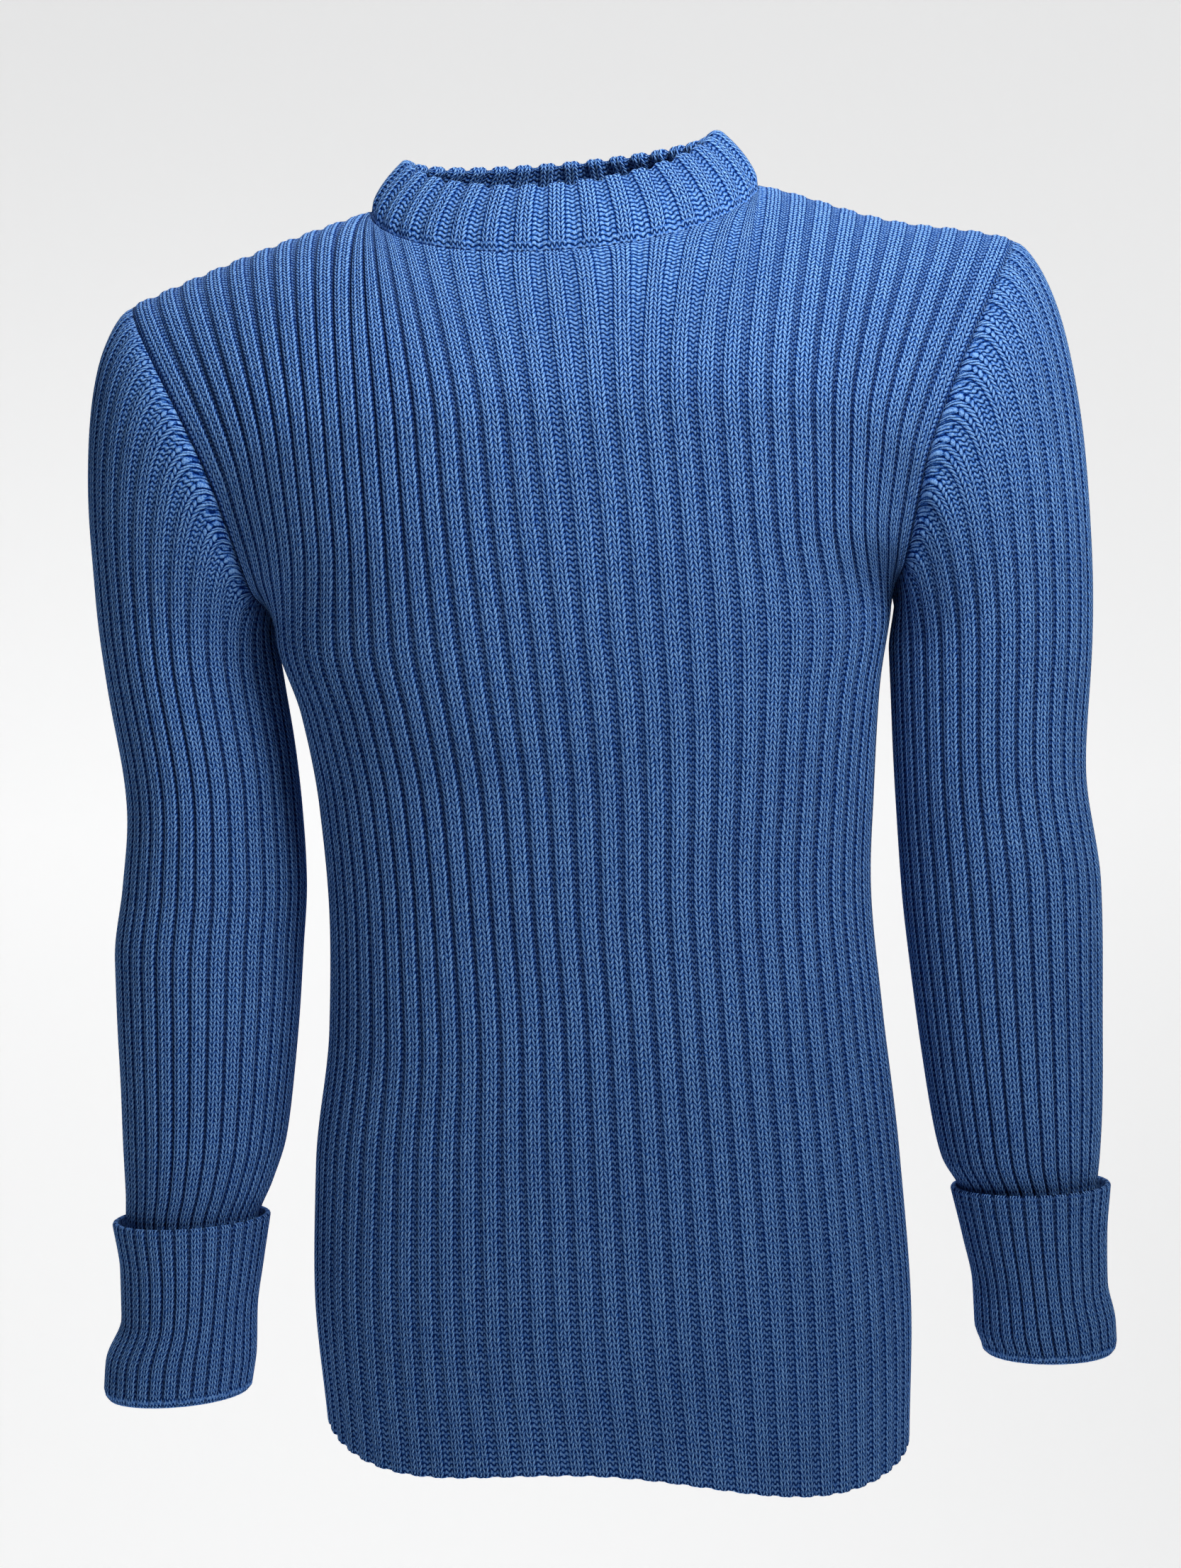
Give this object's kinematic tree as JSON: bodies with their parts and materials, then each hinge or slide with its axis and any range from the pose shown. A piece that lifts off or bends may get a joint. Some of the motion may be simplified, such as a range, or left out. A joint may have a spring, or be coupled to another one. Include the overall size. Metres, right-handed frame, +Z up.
{
  "type": "army sweater",
  "caption": "Crew-neck jumper in chunky wool rib, in hollow worn form with hanging set-in sleeves, folded cuffs, a doubled neckband and a straight hem.",
  "frame": {"origin": "the middle of the neck, level with the inner ends of the shoulder seams, where the wearer's shoulders hold the garment up", "axes": "+X towards the wearer's left, -Y towards the front, +Z up"},
  "size_m": [0.5496, 0.229, 0.7185],
  "materials": {
    "knit": "matte blue wool in a wide rib",
    "knit_trim": "matte blue wool in a close rib, doubled"
  },
  "bodies": {
    "root": {"front": "knit", "back": "knit", "sleeve_left": "knit", "sleeve_right": "knit", "collar": "knit_trim", "cuff_left": "knit_trim", "cuff_right": "knit_trim"}
  },
  "joints": []
}
